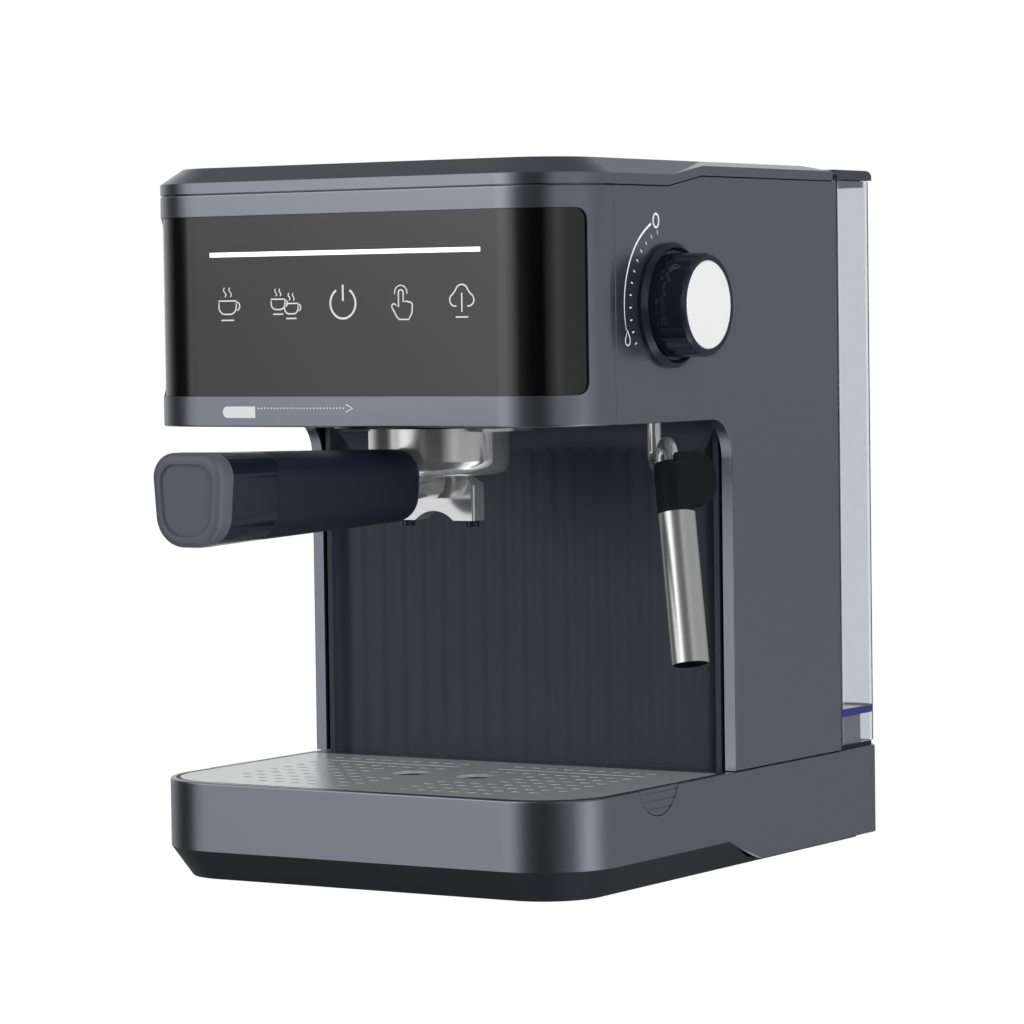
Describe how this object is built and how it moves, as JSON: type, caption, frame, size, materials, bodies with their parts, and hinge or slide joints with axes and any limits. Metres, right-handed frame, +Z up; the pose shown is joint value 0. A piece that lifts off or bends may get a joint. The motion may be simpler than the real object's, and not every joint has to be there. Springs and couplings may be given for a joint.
{
  "type": "pump espresso machine",
  "caption": "Counter-top pump espresso machine with a lock-in portafilter, touch panel, swivelling steam wand, side steam knob, lift-out drip tray and rear water tank with a hinged lid.",
  "frame": {"origin": "middle of the bounding box footprint, on the floor plane", "axes": "+Z up, -Y the front with the touch panel and handle, +X the side with the steam knob"},
  "size_m": [0.2304, 0.3656, 0.2933],
  "materials": {
    "painted_shell": "satin metallic grey-blue paint",
    "cover_paint": "darker satin paint",
    "dark_plastic": "fine-grained moulding",
    "gloss_black": "polished moulding",
    "lamp_diffuser": "milky light guide",
    "chrome_plate": "bright plated",
    "brushed_steel": "brushed",
    "cast_aluminium": "cast and turned",
    "valve_brass": "turned",
    "black_rubber": "moulded",
    "clear_tank": "clear moulding",
    "blue_band": "tinted strip",
    "inner_parts": "board and sensing pads"
  },
  "bodies": {
    "machine": {"base_shell": "painted_shell", "base_pan": "dark_plastic", "rubber_feet": "black_rubber", "pan_screws": "brushed_steel", "cord_gland": "dark_plastic", "left_side_panel": "painted_shell", "right_side_panel": "painted_shell", "splash_panel": "dark_plastic", "rear_panel": "painted_shell", "head_bezel": "painted_shell", "touch_panel": "gloss_black", "light_bar": "lamp_diffuser", "touch_springs": "inner_parts", "control_board": "inner_parts", "top_cover": "cover_paint", "head_floor": "dark_plastic", "bayonet_collar": "gloss_black", "group_head": "cast_aluminium", "group_gasket": "black_rubber", "shower_screen": "brushed_steel", "shower_screw": "brushed_steel", "boiler": "cast_aluminium", "boiler_screws": "brushed_steel", "thermostats": "valve_brass", "dial_ring": "gloss_black", "steam_valve": "valve_brass", "valve_nut": "valve_brass", "wand_bush": "dark_plastic", "tank_pedestal": "dark_plastic", "pump": "brushed_steel", "pump_mounts": "black_rubber", "pump_bracket": "brushed_steel", "water_hose": "black_rubber", "pressure_hose": "black_rubber", "steam_pipe": "brushed_steel", "wand_feed": "brushed_steel"},
    "portafilter": {"portafilter_bowl": "chrome_plate", "filter_basket": "brushed_steel", "spout_yoke": "chrome_plate", "spout_tips": "chrome_plate", "handle_grip": "dark_plastic", "handle_collar": "gloss_black", "handle_end_cap": "gloss_black", "handle_stud": "brushed_steel"},
    "knob": {"knob_body": "gloss_black", "knob_insert": "cast_aluminium", "valve_spindle": "brushed_steel"},
    "wand": {"wand_pipe": "brushed_steel", "wand_grip": "black_rubber", "frother_sleeve": "brushed_steel", "wand_nozzle": "brushed_steel"},
    "tray": {"drip_tray": "dark_plastic"},
    "grid": {"drip_grid": "brushed_steel"},
    "tank": {"water_tank": "clear_tank", "tank_band": "blue_band", "tank_valve": "dark_plastic", "tank_seal": "black_rubber", "tank_strainer": "inner_parts", "lid_pins": "brushed_steel"},
    "lid": {"tank_lid": "dark_plastic"}
  },
  "joints": [
    {"name": "portafilter_lock", "type": "hinge", "parent": "machine", "child": "portafilter", "pos_m": [-0.01018, -0.00915, 0.1884], "axis": [0, 0, 1], "range_deg": [-40, 0]},
    {"name": "steam_knob_turn", "type": "hinge", "parent": "machine", "child": "knob", "pos_m": [0.09482, -0.00025, 0.235], "axis": [1, 0, 0], "range_deg": [0, 95]},
    {"name": "wand_swivel", "type": "hinge", "parent": "machine", "child": "wand", "pos_m": [0.07382, 0.02225, 0.1939], "axis": [0, 0, 1], "range_deg": [-50, 45]},
    {"name": "tray_lift", "type": "slide", "parent": "machine", "child": "tray", "axis": [0, 0, 1], "range_m": [0, 0.032]},
    {"name": "grid_lift", "type": "slide", "parent": "tray", "child": "grid", "axis": [0, 0, 1], "range_m": [0, 0.012]},
    {"name": "tank_lift", "type": "slide", "parent": "machine", "child": "tank", "axis": [0, 0, 1], "range_m": [0, 0.12]},
    {"name": "tank_lid_hinge", "type": "hinge", "parent": "tank", "child": "lid", "pos_m": [-0.01018, 0.14555, 0.2897], "axis": [1, 0, 0], "range_deg": [0, 90]}
  ]
}
